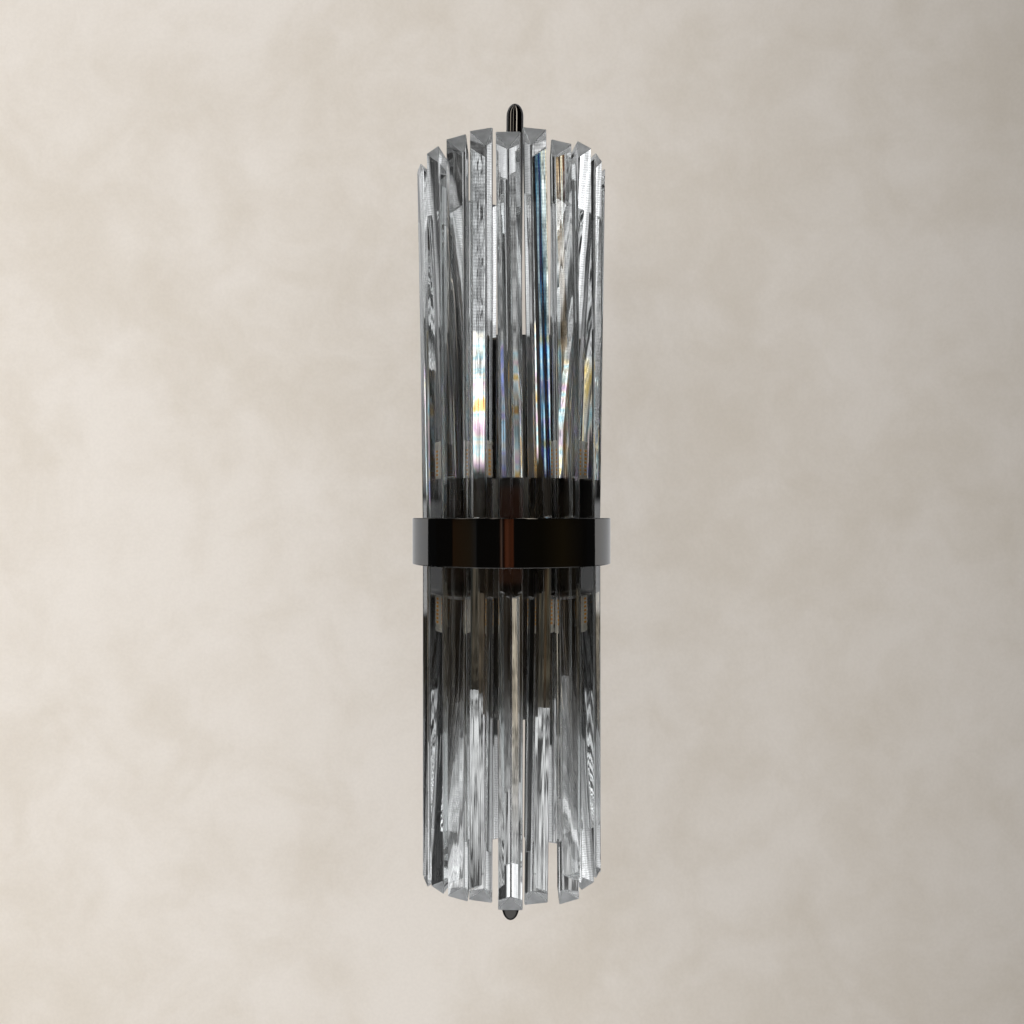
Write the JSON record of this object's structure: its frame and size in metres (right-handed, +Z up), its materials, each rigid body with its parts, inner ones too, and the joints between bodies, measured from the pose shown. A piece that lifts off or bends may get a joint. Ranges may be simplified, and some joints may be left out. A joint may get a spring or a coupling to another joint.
{
  "type": "wall sconce",
  "caption": "Wall light: two tiers of triangular crystal prisms standing round a drum, a polished dark band at mid-height, a bullet-ended rod on the axis, backplate behind.",
  "frame": {"origin": "middle of the wall bracket's two slots, on the wall plane", "axes": "+Z up the lamp, +Y into the wall, the lamp stands out towards -Y"},
  "size_m": [0.12, 0.146, 0.497],
  "materials": {
    "crystal": "polished clear crystal",
    "black_nickel": "polished black nickel",
    "black_aluminium": "dark polished casting",
    "ceramic": "glazed ceramic",
    "led_lamp": "pale body with amber light chips",
    "white_plastic": "moulded",
    "brass": "plain",
    "zinc_steel": "zinc plated"
  },
  "bodies": {
    "fixture": {"arm_nuts": "zinc_steel", "arm_tube": "black_nickel", "backplate": "black_nickel", "band": "black_nickel", "band_screws": "zinc_steel", "drum": "black_aluminium", "drum_cover": "black_aluminium", "earth_screw": "brass", "lamp_holder_1": "ceramic", "lamp_holder_2": "ceramic", "lamp_holder_3": "ceramic", "lamp_holder_4": "ceramic", "lower_prism_01": "crystal", "lower_prism_02": "crystal", "lower_prism_03": "crystal", "lower_prism_04": "crystal", "lower_prism_05": "crystal", "lower_prism_06": "crystal", "lower_prism_07": "crystal", "lower_prism_08": "crystal", "lower_prism_09": "crystal", "lower_prism_10": "crystal", "lower_prism_11": "crystal", "lower_prism_12": "crystal", "lower_prism_13": "crystal", "lower_prism_14": "crystal", "lower_prism_15": "crystal", "lower_prism_16": "crystal", "lower_prism_17": "crystal", "lower_prism_18": "crystal", "lower_prism_19": "crystal", "lower_rod": "black_nickel", "pan_screws": "zinc_steel", "terminal_block": "white_plastic", "upper_prism_01": "crystal", "upper_prism_02": "crystal", "upper_prism_03": "crystal", "upper_prism_04": "crystal", "upper_prism_05": "crystal", "upper_prism_06": "crystal", "upper_prism_07": "crystal", "upper_prism_08": "crystal", "upper_prism_09": "crystal", "upper_prism_10": "crystal", "upper_prism_11": "crystal", "upper_prism_12": "crystal", "upper_prism_13": "crystal", "upper_prism_14": "crystal", "upper_prism_15": "crystal", "upper_prism_16": "crystal", "upper_prism_17": "crystal", "upper_prism_18": "crystal", "upper_prism_19": "crystal", "upper_prism_20": "crystal", "upper_rod": "black_nickel", "wall_bracket": "zinc_steel"},
    "lamp_1": {"bulb_1": "led_lamp"},
    "lamp_2": {"bulb_2": "led_lamp"},
    "lamp_3": {"bulb_3": "led_lamp"},
    "lamp_4": {"bulb_4": "led_lamp"}
  },
  "joints": [
    {"name": "lamp_1_pull", "type": "slide", "parent": "fixture", "child": "lamp_1", "axis": [0, 0, 1], "range_m": [0, 0.013]},
    {"name": "lamp_2_pull", "type": "slide", "parent": "fixture", "child": "lamp_2", "axis": [0, 0, 1], "range_m": [0, 0.013]},
    {"name": "lamp_3_pull", "type": "slide", "parent": "fixture", "child": "lamp_3", "axis": [0, 0, -1], "range_m": [0, 0.013]},
    {"name": "lamp_4_pull", "type": "slide", "parent": "fixture", "child": "lamp_4", "axis": [0, 0, -1], "range_m": [0, 0.013]}
  ]
}
